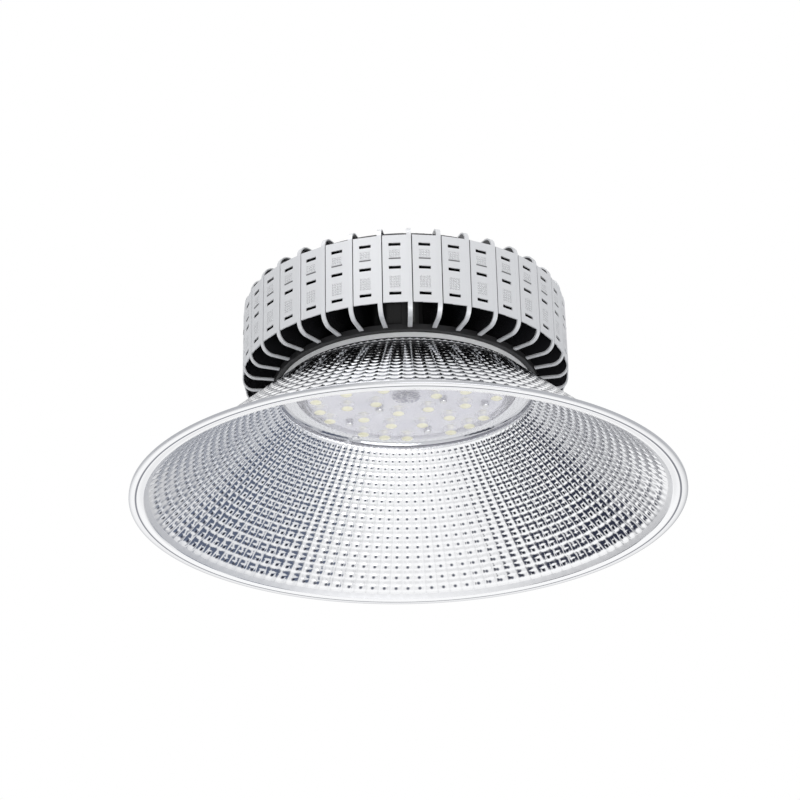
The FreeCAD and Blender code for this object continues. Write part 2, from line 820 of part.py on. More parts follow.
def make_eyebolt():
    """A forged eye on a threaded shank."""
    body = new_body("eyebolt")
    ring = new_sketch(body, "eye_ring", "XZ_Plane")
    draw_circle(ring, ZERO, eye_centre, eye_reach)
    draw_circle(ring, ZERO, eye_centre, size("eye_hole_radius"))
    pad = add_pad(body, ring, size("eye_bar"), middle=True)
    rims = find_edges(pad, lambda edge: isinstance(edge.Curve, Part.Circle))
    add_fillet(body, pad, rims, size("eye_edge"))
    foot = top_foot - size("eye_shank_below")
    shank_top = eye_centre - size("eye_hole_radius") - size("eye_bar") / 2
    add_disc(body, "eye_shank", foot, size("eye_shank_radius"), shank_top - foot)
    return body


def make_nut(label, foot):
    """A hexagon nut on the eyebolt's shank."""
    body = new_body(label)
    flats = new_sketch(body, label + "_flats", "XY_Plane", foot)
    draw_hexagon(flats, ZERO, ZERO, size("nut_flats"))
    draw_circle(flats, ZERO, ZERO, size("eye_shank_radius") + size("thread_clearance"))
    add_pad(body, flats, size("nut_height"))
    return body


def make_washer():
    """The plain washer between the upper nut and the top plate."""
    body = new_body("eye_washer")
    ring = new_sketch(body, "washer_ring", "XY_Plane", top_face)
    draw_circle(ring, ZERO, ZERO, size("washer_radius"))
    draw_circle(ring, ZERO, ZERO, size("eye_shank_radius") + size("eye_clearance"))
    add_pad(body, ring, size("washer_thickness"))
    return body


# ---- the cable gland ----
gland_y = size("gland_offset")
gland_collar = top_face + size("gland_flange_height")
gland_neck_top = gland_collar + size("gland_neck")
seal_foot = gland_neck_top - size("seal_length") * (2 / 3)
seal_top = seal_foot + size("seal_length")
cap_top = gland_collar + size("gland_cap_height")


def make_gland_body():
    """The gland's body: threaded stub, hexagon flange and neck, bored for the cable."""
    body = new_body("gland_body")
    foot = top_foot - size("gland_stub")
    stub = new_sketch(body, "gland_stub_circle", "XY_Plane", foot)
    draw_circle(stub, ZERO, gland_y, size("gland_thread_radius"))
    add_pad(body, stub, gland_neck_top - foot)
    flats = new_sketch(body, "gland_flats_outline", "XY_Plane", top_face)
    draw_hexagon(flats, ZERO, gland_y, size("gland_flats"))
    add_pad(body, flats, size("gland_flange_height"))
    add_holes(body, "gland_bore", foot, gland_neck_top - foot,
              [(ZERO, gland_y, size("gland_bore_radius"))])
    add_holes(body, "gland_seat", seal_foot, gland_neck_top - seal_foot,
              [(ZERO, gland_y, size("gland_seat_radius"))])
    return body


def make_gland_cap():
    """The domed nut that squeezes the seal."""
    body = new_body("gland_cap")
    flats = new_sketch(body, "cap_flats", "XY_Plane", gland_collar)
    draw_hexagon(flats, ZERO, gland_y, size("gland_flats"))
    pad = add_pad(body, flats, size("gland_cap_height"))
    roof = find_edges(pad, lambda edge: abs(edge.CenterOfMass.z - cap_top.value) < 1e-4)
    add_fillet(body, pad, roof, size("gland_cap_roof") / 2)
    add_holes(body, "cap_mouth", gland_collar, size("gland_cap_height"),
              [(ZERO, gland_y, size("gland_bore_radius"))])
    roof_foot = cap_top - size("gland_cap_roof")
    add_holes(body, "cap_chamber", gland_collar, roof_foot - gland_collar,
              [(ZERO, gland_y, size("gland_thread_radius") + size("thread_clearance"))])
    return body


def make_gland_seal():
    """The rubber sleeve round the cable."""
    body = new_body("gland_seal")
    ring = new_sketch(body, "seal_ring", "XY_Plane", seal_foot)
    draw_circle(ring, ZERO, gland_y, size("gland_seat_radius") - size("seal_clearance"))
    draw_circle(ring, ZERO, gland_y, size("seal_bore_radius"))
    add_pad(body, ring, size("seal_length"))
    return body


def make_gland_nut():
    """The flat nut that clamps the gland from under the top plate."""
    body = new_body("gland_nut")
    flats = new_sketch(body, "gland_nut_flats", "XY_Plane", top_foot - size("gland_nut_height"))
    draw_hexagon(flats, ZERO, gland_y, size("gland_flats"))
    draw_circle(flats, ZERO, gland_y, size("gland_thread_radius") + size("thread_clearance"))
    add_pad(body, flats, size("gland_nut_height"))
    return body


# ---- the whole light ----
fin = make_fin()
pieces = [fin] + [copy_fin(fin, index) for index in range(1, int(SIZES["fin_count"]))]
pieces.append(make_base_plate())
pieces.append(make_top_plate())
pieces.append(make_driver_can())
pieces.append(make_driver())
pieces.append(make_thermal_sheet())
pieces.append(make_led_board())
pieces.append(make_leds())
pieces.append(make_lens_plate())
pieces.append(make_lens_gasket())
pieces.append(make_reflector())
pieces.append(make_eyebolt())
pieces.append(make_nut("eye_nut", top_face + size("washer_thickness")))
pieces.append(make_nut("eye_lock_nut", top_foot - size("nut_height")))
pieces.append(make_washer())
pieces.append(make_gland_body())
pieces.append(make_gland_cap())
pieces.append(make_gland_seal())
pieces.append(make_gland_nut())
bite = size("screw_bite")
lens_reach = base_foot - window_foot + bite
pieces.append(make_screws("lens_screws", lens_screw_holes(ZERO), window_foot, lens_reach, False))
flange_reach = size("sheet_thickness") + bite
pieces.append(make_screws("bell_screws", flange_screw_holes(ZERO), neck_flange_foot,
                          flange_reach, False))
foot_reach = size("can_wall") + bite
pieces.append(make_screws("can_screws", can_screw_holes(ZERO), base_top + size("can_wall"),
                          foot_reach, True))
lid_reach = size("top_thickness") + size("can_wall") + bite
pieces.append(make_screws("top_screws", can_screw_holes(ZERO), top_face, lid_reach, True))

doc.recompute()
for item in doc.Objects:
    if "Invalid" in item.State or "Error" in item.State:
        raise RuntimeError("%s did not compute: %s" % (item.Label, item.State))
for piece in pieces:
    if piece.Shape.isNull() or not piece.Shape.isValid():
        raise RuntimeError("%s has no valid shape" % piece.Label)

os.makedirs("parts", exist_ok=True)
for piece in pieces:
    piece.Shape.exportStep("parts/%s.step" % piece.Label)
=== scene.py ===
import bpy
import numpy as np
from mathutils import Matrix, Vector


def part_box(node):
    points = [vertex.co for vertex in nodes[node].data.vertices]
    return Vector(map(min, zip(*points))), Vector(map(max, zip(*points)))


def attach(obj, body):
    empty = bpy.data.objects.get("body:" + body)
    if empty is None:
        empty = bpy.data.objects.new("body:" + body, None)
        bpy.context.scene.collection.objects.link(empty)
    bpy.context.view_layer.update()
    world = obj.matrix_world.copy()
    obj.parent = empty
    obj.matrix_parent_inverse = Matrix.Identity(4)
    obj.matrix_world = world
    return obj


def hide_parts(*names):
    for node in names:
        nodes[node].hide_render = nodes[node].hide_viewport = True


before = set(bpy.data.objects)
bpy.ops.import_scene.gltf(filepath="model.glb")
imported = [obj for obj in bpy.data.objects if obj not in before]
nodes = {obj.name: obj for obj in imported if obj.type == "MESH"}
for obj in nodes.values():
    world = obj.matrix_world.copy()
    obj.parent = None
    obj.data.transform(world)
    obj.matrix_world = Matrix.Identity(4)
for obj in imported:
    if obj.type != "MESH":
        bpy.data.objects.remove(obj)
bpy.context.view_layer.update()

MM = 0.001


# ---- Bell ----
# The reflector is one sheet of bright aluminium. It is spun into a cone, pressed into sixteen rows
# of pillow-shaped cells, and has a flat flange turned out at the rim and another turned in at the
# neck, where three screws hold it.
bell_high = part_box("reflector")[1]
RIM_RADIUS = bell_high.x
NECK_TOP = bell_high.z
NECK_RADIUS = 106 * MM
NECK_HEIGHT = 5 * MM
MOUTH_RADIUS = NECK_RADIUS - 13.4 * MM
RIM_FLANGE = 11.3 * MM
RIM_EDGE = 2.4 * MM
BELL_SHEET = 1.0 * MM
CELL_COLUMNS = 120
CELL_ROWS = 16
CELL_GROWTH = 1.03
CELL_FOOT = 5.9 * MM
CELL_DEPTH = 0.10
OUTER_RELIEF = 1.5
CELL_STEPS = 4
CELL_TURN = np.radians(1.91)
NECK_ROW = -1.0
RIM_ROW = CELL_ROWS + 1
EDGE_ROW = CELL_ROWS + 1.5
GROOVE_ROW = CELL_ROWS + 2
BEND = 0.35 * MM
GROOVE_INSET = 5.6 * MM


def cone_line(offset):
    """The cone's side as (neck point, direction down it, inward normal), moved in by an offset."""
    neck = np.array([NECK_RADIUS, NECK_TOP - NECK_HEIGHT])
    root = np.array([RIM_RADIUS - RIM_FLANGE, BELL_SHEET])
    along = (root - neck) / np.linalg.norm(root - neck)
    inward = np.array([along[1], -along[0]])
    return neck + inward * offset, along, inward, np.linalg.norm(root - neck)


def side_points(offset):
    """Points down the cone's side with their row number.

    Row number v lies at (growth^v - 1) / (growth^rows - 1) of the length of the cells, so each row
    is taller than the one above by the growth.
    """
    neck, along, inward, length = cone_line(offset)
    row = np.linspace(0, CELL_ROWS, CELL_ROWS * CELL_STEPS + 1)
    share = (CELL_GROWTH ** row - 1) / (CELL_GROWTH ** CELL_ROWS - 1)
    reach = share * (length - CELL_FOOT)
    height = np.gradient(reach, row) * CELL_DEPTH
    return neck + along * reach[:, None], row, height


def bend(centre, radius, start, end, steps=5):
    """Points on an arc: centre plus radius times (cosine, sine) of angles from start to end."""
    angle = np.radians(np.linspace(start, end, steps))
    return np.array(centre) + radius * np.c_[np.cos(angle), np.sin(angle)]


def bell_section():
    """The closed section of the sheet: its points, row numbers, pillow heights and side marks."""
    outer, row, height = side_points(0.0)
    inner, _, _ = side_points(BELL_SHEET)
    _, along, inward, _ = cone_line(0.0)
    lip = BEND
    groove = RIM_RADIUS - GROOVE_INSET
    edge_in = RIM_RADIUS - BELL_SHEET
    foot_top = outer[-1] + along * (outer[-1][1] - BELL_SHEET - lip) / -along[1]
    foot_low = inner[-1] + along * (inner[-1][1] - lip) / -along[1]
    top = np.vstack([
        bend((MOUTH_RADIUS + lip, NECK_TOP - lip), lip, 180, 90),
        bend((NECK_RADIUS - 2 * lip, NECK_TOP - 2 * lip), 2 * lip, 90, 0)])
    rim = np.vstack([
        foot_top, foot_top + [2 * lip, -lip],
        [[edge_in - lip, BELL_SHEET]], bend((edge_in - lip, BELL_SHEET + lip), lip, -90, 0)[1:],
        bend((edge_in + lip, RIM_EDGE - lip), lip, 180, 90),
        bend((RIM_RADIUS - lip, RIM_EDGE - lip), lip, 90, 0),
        bend((RIM_RADIUS - lip, lip), lip, 0, -90),
        [[groove + 3 * lip, 0], [groove + lip, 0], [groove, lip], [groove - lip, 0],
         [groove - 3 * lip, 0]],
        foot_low + [lip, -lip], foot_low])
    neck_in = NECK_RADIUS - BELL_SHEET
    neck_low = inner[0] - along * (inner[0][0] - neck_in) / along[0]
    under = np.vstack([
        [neck_low], bend((neck_in - lip, NECK_TOP - BELL_SHEET - lip), lip, 0, 90),
        bend((MOUTH_RADIUS + lip, NECK_TOP - BELL_SHEET + lip), lip, -90, -180)])
    points = np.vstack([top, outer, rim, inner[:0:-1], under])
    # the last 17 points of the rim are 10 on its outer edge, 1, 3 in its groove, and 3
    rim_rows = np.full(len(rim), float(RIM_ROW))
    rim_rows[-17:-7] = EDGE_ROW
    rim_rows[-6:-3] = GROOVE_ROW
    rows = np.concatenate([np.full(len(top), NECK_ROW), row, rim_rows, row[:0:-1],
                           np.full(len(under), NECK_ROW)])
    swell = np.concatenate([np.zeros(len(top)), height * OUTER_RELIEF, np.zeros(len(rim)),
                            height[:0:-1], np.zeros(len(under))])
    outside = np.arange(len(points)) < len(top) + len(outer) - 1
    return points, rows, swell, inward, outside


def ring_faces(around, along_count):
    """Quads of a grid that closes both ways: point (i, j) has number i * around + j."""
    i, j = np.meshgrid(np.arange(along_count), np.arange(around), indexing="ij")
    down = (i + 1) % along_count
    beside = (j + 1) % around
    quads = np.stack([i * around + j, i * around + beside, down * around + beside,
                      down * around + j], axis=-1)
    return quads.reshape(-1, 4)


def make_mesh(name, points, quads, smooth=True):
    """An object at the origin whose mesh has these points, in metres, and these quads."""
    mesh = bpy.data.meshes.new(name)
    mesh.from_pydata(points.tolist(), [], quads.tolist())
    mesh.polygons.foreach_set("use_smooth", np.full(len(mesh.polygons), smooth))
    mesh.update()
    piece = bpy.data.objects.new(name, mesh)
    bpy.context.scene.collection.objects.link(piece)
    return piece


def make_bell():
    """The section turned about Z; each cell swells inward by height * (1 - a^2) * (1 - b^2).

    a and b run from -1 to 1 across the cell, along the rim and down the cone.
    """
    section, rows, swell, inward, outside = bell_section()
    around = CELL_COLUMNS * CELL_STEPS
    column = np.arange(around) / CELL_STEPS
    across = 1 - (2 * (column % 1) - 1) ** 2
    down = 1 - (2 * (rows % 1) - 1) ** 2
    bulge = (swell * down)[:, None] * across[None, :]
    radius = section[:, 0, None] + inward[0] * bulge
    level = section[:, 1, None] + inward[1] * bulge
    angle = CELL_TURN + 2 * np.pi * column / CELL_COLUMNS
    points = np.stack([radius * np.cos(angle), radius * np.sin(angle), level], axis=-1)
    quads = ring_faces(around, len(section))[:, ::-1]
    piece = make_mesh("bell", points.reshape(-1, 3), quads)
    cells = piece.data.uv_layers.new(name="cells")
    ring = quads // around
    turn = (quads % around).astype(float) / CELL_STEPS
    last = (turn == 0) & (turn.max(axis=1, keepdims=True) > CELL_COLUMNS / 2)
    turn[last] += CELL_COLUMNS
    cells.data.foreach_set("uv", np.stack([turn, rows[ring]], axis=-1).ravel())
    side = piece.data.attributes.new("outside", "FLOAT", "FACE")
    side.data.foreach_set("value", np.repeat(outside, around).astype(float))
    return piece


class Shade:
    """A socket of a node tree. Arithmetic on it adds Math nodes, node() adds any other node."""

    def __init__(self, tree, socket=None):
        self.tree = tree
        self.socket = socket

    def node(self, kind, settings=(), inputs=(), output=0):
        """Adds a node: its settings first, then its inputs, each a value or another socket."""
        new = self.tree.nodes.new(kind)
        for name, value in dict(settings).items():
            setattr(new, name, value)
        for name, value in dict(inputs).items():
            if isinstance(value, Shade):
                self.tree.links.new(value.socket, new.inputs[name])
            else:
                new.inputs[name].default_value = value
        return Shade(self.tree, new.outputs[output])

    def math(self, operation, *others):
        values = {place: other for place, other in enumerate((self,) + others)}
        return self.node("ShaderNodeMath", {"operation": operation}, values)

    def reverse(self, operation, other):
        return self.node("ShaderNodeMath", {"operation": operation}, {0: other, 1: self})

    def __add__(self, other):
        return self.math("ADD", other)

    def __radd__(self, other):
        return self.math("ADD", other)

    def __sub__(self, other):
        return self.math("SUBTRACT", other)

    def __rsub__(self, other):
        return self.reverse("SUBTRACT", other)

    def __mul__(self, other):
        return self.math("MULTIPLY", other)

    def __rmul__(self, other):
        return self.math("MULTIPLY", other)

    def __truediv__(self, other):
        return self.math("DIVIDE", other)

    def __rtruediv__(self, other):
        return self.reverse("DIVIDE", other)

    def step(self, low, high):
        """Rises smoothly from 0 at low to 1 at high; falls where low is above high."""
        values = {0: self, 1: low, 2: high}
        return self.node("ShaderNodeMapRange", {"interpolation_type": "SMOOTHSTEP"}, values)

    def colours(self, first, second):
        """A mix of two colours by this value: 6, 7 and output 2 are the Mix node's colours."""
        values = {0: self, 6: first, 7: second}
        return self.node("ShaderNodeMix", {"data_type": "RGBA"}, values, output=2)


def new_finish(name, **fixed):
    """A Principled material with fixed values on the shader's own sockets."""
    material = bpy.data.materials.new(name)
    material.use_nodes = True
    shader = material.node_tree.nodes["Principled BSDF"]
    for socket, value in fixed.items():
        shader.inputs[socket.replace("_", " ")].default_value = value
    return material, Shade(material.node_tree), shader


def feed(shade, shader, socket):
    """Links a worked-out value to the shader."""
    shade.tree.links.new(shade.socket, shader.inputs[socket])


def rgb(red, green, blue):
    return (red, green, blue, 1.0)


def bell_finish():
    """Bright aluminium with a dark dot painted at each cell's centre, a painted reflection of the
    dark that a dimple there would mirror, and painted crease shade along the seams between cells,
    darker outside.

    The rim's groove and outer edge carry painted shade, the smooth foot above it is greyer and
    satin, the inner neck flange is greyer, and the neck's collar is painted pale and matt, painted
    light where the fins above shade it. The map gives the column and row: the neck lies before
    row 0, the foot and the rim lie past the last row.
    """
    material, blank, shader = new_finish("bell_aluminium")
    spread = blank.node("ShaderNodeUVMap", {"uv_map": "cells"})
    column = blank.node("ShaderNodeSeparateXYZ", inputs={0: spread})
    row = blank.node("ShaderNodeSeparateXYZ", inputs={0: spread}, output="Y")
    outside = blank.node("ShaderNodeAttribute", {"attribute_name": "outside"}, output="Fac")
    across = (column.math("FRACT") - 0.5).math("ABSOLUTE") * 2
    down = (row.math("FRACT") - 0.5).math("ABSOLUTE") * 2
    inside_rows = row.step(-0.05, 0.0) * row.step(CELL_ROWS + 0.05, CELL_ROWS)
    # painted shade: darker along the cell borders, the creases between the pillows, most of all
    # between rows outside
    painted_crease_shade = across.step(0.80, 1.0) * 0.05 + down.step(0.55, 1.0) * (outside * 0.75 + 0.08)
    # painted reflection: a dark dot at each cell's centre, the dark that a dimple there would
    # mirror, fainter outside
    mark = (across * across + down * down).math("SQRT").step(0.42, 0.12) * (0.92 - outside * 0.45)
    # painted shade in the rim's groove and on its outer edge face
    groove = row.step(RIM_ROW + 0.2, GROOVE_ROW - 0.2) * 0.8
    painted_shade_and_grey = (painted_crease_shade.math("MAXIMUM", mark) * inside_rows).math("MAXIMUM", groove)
    # painted light: the outer neck band is painted pale and matt where the fins above shade it
    collar = row.step(-0.02, -0.15) * outside
    place = blank.node("ShaderNodeTexCoord", output="Object")
    cloud = blank.node("ShaderNodeTexNoise", inputs={"Vector": place, "Scale": 90.0})
    flange = row.step(-0.2, -0.8) * 0.22
    foot = row.step(CELL_ROWS + 0.02, CELL_ROWS + 0.15) * row.step(RIM_ROW, RIM_ROW - 0.1)
    painted_shade_and_grey = painted_shade_and_grey.math("MAXIMUM", flange).math("MAXIMUM", foot * 0.14)
    metal = painted_shade_and_grey.colours(rgb(0.96, 0.965, 0.98), rgb(0.05, 0.06, 0.10))
    feed(collar.colours(metal, rgb(0.93, 0.94, 0.95)), shader, "Base Color")
    feed(1 - collar, shader, "Metallic")
    feed(cloud * 0.06 + 0.04 + outside * 0.04 + collar * 0.35 + foot * 0.34, shader, "Roughness")
    return material


bell = make_bell()
bell.data.materials.append(bell_finish())
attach(bell, "root")
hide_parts("reflector")


# ---- Fins ----
# Each fin is one pressed sheet: a blade that carries the heat, its faces painted near black as
# painted shade between the fins, a bright lip turned over along its outer edge, and a satin silver
# panel bent round to the next fin, with three slots.
FIN_COUNT = 36
FIN_RADIUS = 135.6 * MM
FIN_START = np.radians(-88.9)
FIN_PITCH = 2 * np.pi / FIN_COUNT
FIN_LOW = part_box("fin_01")[0].z
FIN_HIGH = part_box("top_plate")[0].z
FIN_CORNER = 10 * MM
FIN_PANEL_TURN = np.radians(4.07)
LIP_EDGE = 1.25 * MM
LIP_BLUR = 0.15 * MM
STUD_PITCH = 2.2 * MM
STUD_BLOCKS = ((133.0 * MM, 5.55 * MM), (158.3 * MM, 3.35 * MM))
RIB_FOOT = 153.8 * MM


def set_finish(name, material):
    """Gives a CAD node one finish in all its slots."""
    slots = nodes[name].material_slots
    for slot in slots:
        slot.link = "DATA"
        slot.material = material
    if not slots:
        nodes[name].data.materials.append(material)


def fin_finish():
    """Silver near the fin's outer contour and on its panel; the blade's two faces are painted near
    black, a painted shade for the dark between the fins.

    The contour is a rectangle with round outer corners. The distance to it, from inside, is the
    corner radius less the length of the part of (x, y) that lies past the corner's centre. Each
    panel has two blocks of small pressed studs, and a painted shadow line along the lower edge of
    its rib.
    """
    material, blank, shader = new_finish("fin_metal")
    place = blank.node("ShaderNodeTexCoord", output="Object")
    x = blank.node("ShaderNodeSeparateXYZ", inputs={0: place})
    y = blank.node("ShaderNodeSeparateXYZ", inputs={0: place}, output="Y")
    z = blank.node("ShaderNodeSeparateXYZ", inputs={0: place}, output="Z")
    radius = (x * x + y * y).math("SQRT")
    turn = y.math("ARCTAN2", x) - (FIN_START - FIN_PITCH / 2)
    offset = turn.math("FLOORED_MODULO", FIN_PITCH) - FIN_PITCH / 2
    side = radius * offset.math("SINE")
    out = radius * offset.math("COSINE")
    panel = (side.step(-0.1 * MM, -0.4 * MM)
             * out.step(FIN_RADIUS - 4 * MM, FIN_RADIUS - 3 * MM))
    half = (FIN_HIGH - FIN_LOW) / 2
    past_out = (out - (FIN_RADIUS - FIN_CORNER)).math("MAXIMUM", 0.0)
    past_up = ((z - (FIN_LOW + half)).math("ABSOLUTE") - (half - FIN_CORNER)).math("MAXIMUM", 0.0)
    edge = FIN_CORNER - (past_out * past_out + past_up * past_up).math("SQRT")
    lip = edge.step(LIP_EDGE + LIP_BLUR, LIP_EDGE - LIP_BLUR) * out.step(105 * MM, 110 * MM)
    silver = lip.math("MAXIMUM", panel)
    panel_turn = turn + FIN_PANEL_TURN
    local = panel_turn.math("FLOORED_MODULO", FIN_PITCH) - FIN_PITCH / 2
    aside = radius * local.math("SINE")
    low, high = [(z - centre).math("ABSOLUTE").step(reach + 0.05 * MM, reach - 0.05 * MM)
                 for centre, reach in STUD_BLOCKS]
    face = out.step(130 * MM, 132 * MM)
    from_middle = aside.math("ABSOLUTE")
    block = (low + high) * from_middle.step(4.5 * MM, 4.4 * MM) * face
    # painted shadow: a dark line under the rib's lower edge
    painted_rib_shadow = (z - RIB_FOOT).math("ABSOLUTE").step(0.7 * MM, 0.3 * MM)
    painted_rib_shadow = painted_rib_shadow * from_middle.step(4.8 * MM, 4.5 * MM) * face
    stud_x = (aside / STUD_PITCH).math("FRACT") - 0.5
    stud_z = (z / STUD_PITCH).math("FRACT") - 0.5
    stud = (stud_x * stud_x + stud_z * stud_z).math("SQRT").step(0.42, 0.22) * block
    bump = blank.node("ShaderNodeBump",
                      inputs={"Height": stud, "Strength": 1.0, "Distance": 0.9 * MM})
    brushed = blank.node("ShaderNodeMapping", inputs={"Vector": place, "Scale": (900, 900, 60)})
    grain = blank.node("ShaderNodeTexNoise", inputs={"Vector": brushed, "Scale": 1.0})
    # the blade's faces are near black: painted shade for the dark between the fins
    metal = silver.colours(rgb(0.015, 0.015, 0.017), rgb(0.72, 0.73, 0.75))
    feed((painted_rib_shadow * 0.75).colours(metal, rgb(0.05, 0.05, 0.055)), shader, "Base Color")
    feed(silver * 0.35, shader, "Metallic")
    feed(bump, shader, "Normal")
    feed(silver * 0.34 + grain * 0.06 + 0.07, shader, "Roughness")
    return material


fin_metal = fin_finish()
for number in range(1, FIN_COUNT + 1):
    set_finish("fin_%02d" % number, fin_metal)


# ---- Plates, can and driver ----
# The base plate and the lid are cut from aluminium plate and coated dark. The can between them is
# drawn from thin sheet and coated black, and closes in the potted driver.
def coated_finish(name, colour, roughness):
    """A satin coating with a fine orange-peel bump."""
    material, blank, shader = new_finish(name, Specular_IOR_Level=0.5)
    place = blank.node("ShaderNodeTexCoord", output="Object")
    peel = blank.node("ShaderNodeTexNoise", inputs={"Vector": place, "Scale": 900.0})
    mottle = blank.node("ShaderNodeTexNoise", inputs={"Vector": place, "Scale": 40.0})
    light = tuple(min(1.0, part * 1.35 + 0.01) for part in colour[:3]) + (1.0,)
    feed(mottle.colours(colour, light), shader, "Base Color")
    feed(mottle * 0.15 + roughness, shader, "Roughness")
    bump = blank.node("ShaderNodeBump",
                      inputs={"Height": peel, "Strength": 0.12, "Distance": 0.2 * MM})
    feed(bump, shader, "Normal")
    return material


set_finish("base_plate", coated_finish("base_coat", rgb(0.012, 0.012, 0.013), 0.35))
set_finish("top_plate", coated_finish("lid_coat", rgb(0.05, 0.05, 0.055), 0.40))
set_finish("driver_can", coated_finish("can_coat", rgb(0.012, 0.012, 0.014), 0.22))
set_finish("driver_case", coated_finish("driver_coat", rgb(0.50, 0.51, 0.53), 0.45))


# ---- Lamp engine ----
# Under the base plate lie a soft thermal sheet, a white circuit board with three rings of LEDs, a
# silicone gasket and a clear moulded lens plate with one dome for each LED.
set_finish("thermal_sheet", coated_finish("thermal_pad", rgb(0.55, 0.55, 0.60), 0.7))
set_finish("led_board", coated_finish("board_mask", rgb(0.79, 0.79, 0.86), 0.45))
set_finish("lens_gasket", coated_finish("gasket_silicone", rgb(0.70, 0.70, 0.72), 0.6))


def led_finish():
    """Pale yellow phosphor."""
    material, blank, shader = new_finish("led_phosphor", Roughness=0.35)
    place = blank.node("ShaderNodeTexCoord", output="Object")
    speck = blank.node("ShaderNodeTexNoise", inputs={"Vector": place, "Scale": 1500.0})
    feed(speck.colours(rgb(0.86, 0.85, 0.70), rgb(0.95, 0.94, 0.82)), shader, "Base Color")
    return material


LENS_START = np.radians(14.7)
LENS_SECTOR = np.radians(60)
LENS_DOMES = ((26, 30), (51, 0), (51, 30), (51, 60), (75, 15), (75, 30), (75, 45))
DOME_FACE = 97.3 * MM
TICK_RADIUS = 89.9 * MM
TICK_START = np.radians(5.4)


def lens_finish():
    """Clear moulding: each dome carries a painted image of its LED, a pale yellow disc as the dome
    would show the LED enlarged, and the rim has a mark every 10 degrees.

    The domes repeat every 60 degrees, so the angle is folded into one sector, where each dome is a
    disc about its (radius in mm, angle in degrees).
    """
    material, blank, shader = new_finish("lens_clear", IOR=1.5)
    place = blank.node("ShaderNodeTexCoord", output="Object")
    x = blank.node("ShaderNodeSeparateXYZ", inputs={0: place})
    y = blank.node("ShaderNodeSeparateXYZ", inputs={0: place}, output="Y")
    radius = (x * x + y * y).math("SQRT")
    turn = y.math("ARCTAN2", x)
    sector = (turn - LENS_START).math("FLOORED_MODULO", LENS_SECTOR)
    z = blank.node("ShaderNodeSeparateXYZ", inputs={0: place}, output="Z")
    domes = z.step(DOME_FACE + 0.3 * MM, DOME_FACE - 0.3 * MM)
    # painted image of each LED: a pale yellow disc on its dome, as the dome would show the LED
    # enlarged
    painted_led_image = None
    for out, angle in LENS_DOMES:
        along = radius * (sector - np.radians(angle)).math("COSINE") - out * MM
        aside = radius * (sector - np.radians(angle)).math("SINE")
        spot = (along * along + aside * aside).math("SQRT").step(5.6 * MM, 4.2 * MM)
        painted_led_image = spot if painted_led_image is None else painted_led_image.math("MAXIMUM", spot)
    painted_led_image = painted_led_image * domes
    tick_turn = (turn - TICK_START).math("PINGPONG", np.radians(5)) * radius
    ring = (radius - TICK_RADIUS).math("ABSOLUTE")
    tick = tick_turn.step(1.2 * MM, 0.8 * MM) * ring.step(1.1 * MM, 0.7 * MM)
    gate = blank.node("ShaderNodeTexNoise", inputs={"Vector": place, "Scale": 420.0})
    gate_mark = gate.step(0.5, 0.53) * radius.step(12.5 * MM, 10.5 * MM)
    clear = painted_led_image.colours(rgb(0.82, 0.82, 0.88), rgb(0.96, 0.93, 0.62))
    marked = gate_mark.math("MAXIMUM", tick)
    feed((marked * 0.7).colours(clear, rgb(0.12, 0.12, 0.16)), shader, "Base Color")
    feed(painted_led_image * 0.22 + marked * 0.4 + 0.30, shader, "Alpha")
    feed(gate_mark * 0.3 + 0.06, shader, "Roughness")
    return material


set_finish("leds", led_finish())
set_finish("lens_plate", lens_finish())


# ---- Screws, eyebolt and gland ----
# Plated pan head screws, a forged and plated eyebolt with its nuts and washer, and a black nylon
# cable gland with a rubber seal.
def plated_finish(name, colour, roughness):
    """Plated steel with faint mottling."""
    material, blank, shader = new_finish(name, Metallic=1.0)
    place = blank.node("ShaderNodeTexCoord", output="Object")
    mottle = blank.node("ShaderNodeTexNoise", inputs={"Vector": place, "Scale": 250.0})
    feed(mottle.colours(colour, rgb(0.85, 0.85, 0.86)), shader, "Base Color")
    feed(mottle * 0.15 + roughness, shader, "Roughness")
    return material


steel = plated_finish("plated_steel", rgb(0.60, 0.60, 0.62), 0.22)
for name in ("lens_screws", "bell_screws", "can_screws", "top_screws", "eyebolt", "eye_nut",
             "eye_lock_nut", "eye_washer"):
    set_finish(name, steel)
nylon = coated_finish("gland_nylon", rgb(0.02, 0.02, 0.02), 0.45)
for name in ("gland_body", "gland_cap", "gland_nut"):
    set_finish(name, nylon)
set_finish("gland_seal", coated_finish("gland_rubber", rgb(0.015, 0.015, 0.015), 0.7))


# ---- Floor, light and camera ----
# A pale floor lies well below the hanging light, under an even white sky with two soft lamps. The
# floor is left out of what shines, so the bell mirrors the studio and not the paper.
def plain_plane(name, size, level):
    """A square of this size about the Z axis."""
    half = size / 2
    corners = np.array([[-half, -half, level], [half, -half, level], [half, half, level],
                        [-half, half, level]])
    return make_mesh(name, corners, np.array([[0, 1, 2, 3]]), smooth=False)


SCREEN_WAY = (0, 0.50, -0.865)
SCREEN_UP = (0, 0.865, 0.50)
SCREEN_EDGE = 0.70
BAR_COUNT = 9.0


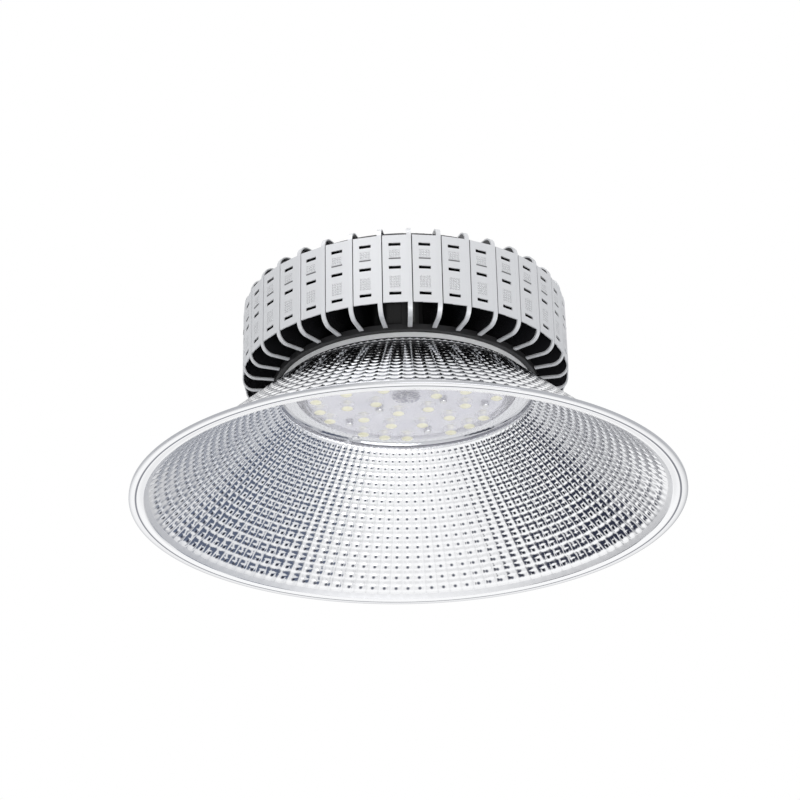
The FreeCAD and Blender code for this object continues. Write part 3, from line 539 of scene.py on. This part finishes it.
def sky():
    """An even white sky that lights the object at a plain level.

    What shines sees the same white, broken by the dark gap round a white screen that stands low
    behind the lamp: directions w with dot(w, screen) near one value. Bars, a cosine of the angle
    across the screen, cross the gap. It is black on one side, blue-grey on the other and pale in
    the middle. Grey areas stand low on the right, on both sides and behind, right of the middle.
    """
    world = bpy.data.worlds.new("studio")
    world.use_nodes = True
    tree = world.node_tree
    background = tree.nodes["Background"]
    blank = Shade(tree)
    way = blank.node("ShaderNodeTexCoord", output="Generated")
    x = blank.node("ShaderNodeSeparateXYZ", inputs={0: way})
    y = blank.node("ShaderNodeSeparateXYZ", inputs={0: way}, output="Y")
    z = blank.node("ShaderNodeSeparateXYZ", inputs={0: way}, output="Z")
    seen = blank.node("ShaderNodeLightPath")
    shiny = blank.node("ShaderNodeLightPath", output="Is Glossy Ray")
    clear = blank.node("ShaderNodeLightPath", output="Is Transmission Ray")
    screen = blank.node("ShaderNodeVectorMath", {"operation": "DOT_PRODUCT"},
                        {0: way, 1: SCREEN_WAY}, output="Value")
    gap = (screen - SCREEN_EDGE).math("ABSOLUTE").step(0.125, 0.06)
    lift = blank.node("ShaderNodeVectorMath", {"operation": "DOT_PRODUCT"},
                      {0: way, 1: SCREEN_UP}, output="Value")
    bars = (x.math("ARCTAN2", lift) * BAR_COUNT).math("COSINE").step(-0.95, -0.2) * 0.75 + 0.25
    black_side = x.step(-0.32, -0.64)
    blue_side = x.step(0.28, 0.62)
    low_right = x.step(0.30, 0.60) * z.step(0.0, -0.2)
    depth = gap * bars * (black_side * 0.85 + blue_side * 0.82 + 0.12)
    sides = z.step(-0.05, 0.25) * z.step(0.98, 0.55) * x.math("ABSOLUTE").step(0.10, 0.50)
    behind = x.step(0.08, 0.30) * y.step(0.70, 0.88)
    dark = depth.math("MAXIMUM", low_right * 0.24).math("MAXIMUM", sides * 0.28)
    dark = dark.math("MAXIMUM", behind * 0.38) * shiny
    tint = blue_side.math("MAXIMUM", sides).colours(rgb(0.0, 0.005, 0.03), rgb(0.05, 0.075, 0.14))
    tree.links.new(dark.colours(rgb(1, 1, 1), tint).socket, background.inputs["Color"])
    level = seen.math("MAXIMUM", shiny).math("MAXIMUM", clear) * 0.35 + 0.65
    tree.links.new(level.socket, background.inputs["Strength"])
    bpy.context.scene.world = world


def floor_finish():
    """A matt white floor that looks as white as the sky where no shadow lies."""
    material, blank, shader = new_finish("floor_paper", Roughness=0.9, Emission_Strength=1.0)
    shader.inputs["Base Color"].default_value = rgb(0.95, 0.95, 0.95)
    seen = blank.node("ShaderNodeLightPath")
    feed(seen.colours(rgb(0, 0, 0), rgb(0.35, 0.35, 0.35)), shader, "Emission Color")
    return material


floor = plain_plane("floor", 30.0, -1.6)
floor.data.materials.append(floor_finish())
floor.visible_glossy = False
sky()


def soft_lamp(name, place, aim, size, power):
    """A square lamp at a place, turned to face a point."""
    lamp = bpy.data.lights.new(name, "AREA")
    lamp.size = size
    lamp.energy = power
    holder = bpy.data.objects.new(name, lamp)
    holder.visible_camera = False
    facing = (Vector(aim) - Vector(place)).to_track_quat("-Z", "Y")
    holder.matrix_world = Matrix.Translation(place) @ facing.to_matrix().to_4x4()
    bpy.context.scene.collection.objects.link(holder)


middle = (0, 0, 0.1)
soft_lamp("key_lamp", (-0.9, -1.2, 2.6), middle, 1.6, 30)
soft_lamp("fill_lamp", (0.5, -1.3, -1.2), middle, 1.4, 18)

EYE = Vector((-5.134, -1569.95, -669.87)) * MM
AIM = Vector((-5.134, 0, 96.083)) * MM
ROLL = np.radians(1.189)
FOCAL_LENGTH = 94.79
SENSOR_WIDTH = 36
forward = (AIM - EYE).normalized()
right = forward.cross(Vector((0, 0, 1))).normalized()
up = right.cross(forward)
across = right * np.cos(ROLL) - up * np.sin(ROLL)
upward = right * np.sin(ROLL) + up * np.cos(ROLL)
view = bpy.data.cameras.new("view")
view.sensor_width = SENSOR_WIDTH
view.lens = FOCAL_LENGTH
camera = bpy.data.objects.new("view", view)
turned = Matrix((across, upward, -forward)).transposed()
camera.matrix_world = Matrix.Translation(EYE) @ turned.to_4x4()
bpy.context.scene.collection.objects.link(camera)
bpy.context.scene.camera = camera
bpy.context.scene.view_settings.view_transform = "Standard"
